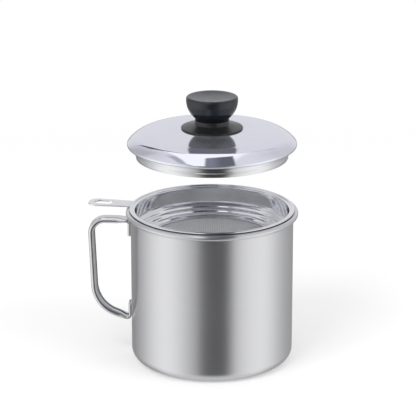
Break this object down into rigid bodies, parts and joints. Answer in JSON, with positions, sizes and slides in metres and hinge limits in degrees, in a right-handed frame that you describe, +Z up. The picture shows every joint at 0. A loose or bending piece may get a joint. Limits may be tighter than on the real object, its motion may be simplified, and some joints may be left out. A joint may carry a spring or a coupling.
{
  "type": "grease container",
  "caption": "Steel pot with a loop handle, a lift-out strainer bowl with a fine mesh floor, and a domed lid with a round knob, for straining and keeping cooking fat.",
  "frame": {"origin": "centre of the flat underside of the pot", "axes": "+Z up along the pot's axis, the pot's handle and the strainer's tab towards -X, +Y to the back"},
  "size_m": [0.1555, 0.1272, 0.2],
  "materials": {
    "pot_steel": "satin, brushed round the wall",
    "handle_steel": "satin",
    "strainer_steel": "polished stainless steel",
    "mesh_wire": "fine woven wire, bright",
    "tab_steel": "satin",
    "lid_steel": "mirror polished stainless steel",
    "knob_bakelite": "semi-gloss moulded phenolic, charcoal",
    "collar_bakelite": "semi-gloss moulded phenolic, charcoal",
    "insert_brass": "turned",
    "screw_steel": "bright zinc plated"
  },
  "bodies": {
    "pot": {"pot_body": "pot_steel", "pot_handle": "handle_steel"},
    "strainer": {"strainer_bowl": "strainer_steel", "strainer_mesh": "mesh_wire", "mesh_clamp_ring": "strainer_steel", "strainer_handle": "tab_steel"},
    "lid": {"lid_cover": "lid_steel", "lid_skirt": "lid_steel", "knob_collar": "collar_bakelite", "knob_grip": "knob_bakelite", "knob_insert": "insert_brass", "knob_screw": "screw_steel", "screw_washer": "screw_steel"}
  },
  "joints": [
    {"name": "strainer_lift", "type": "slide", "parent": "pot", "child": "strainer", "axis": [0, 0, 1], "range_m": [0, 0.056]},
    {"name": "lid_lift", "type": "slide", "parent": "strainer", "child": "lid", "axis": [0, 0, 1], "range_m": [-0.047, 0]}
  ]
}
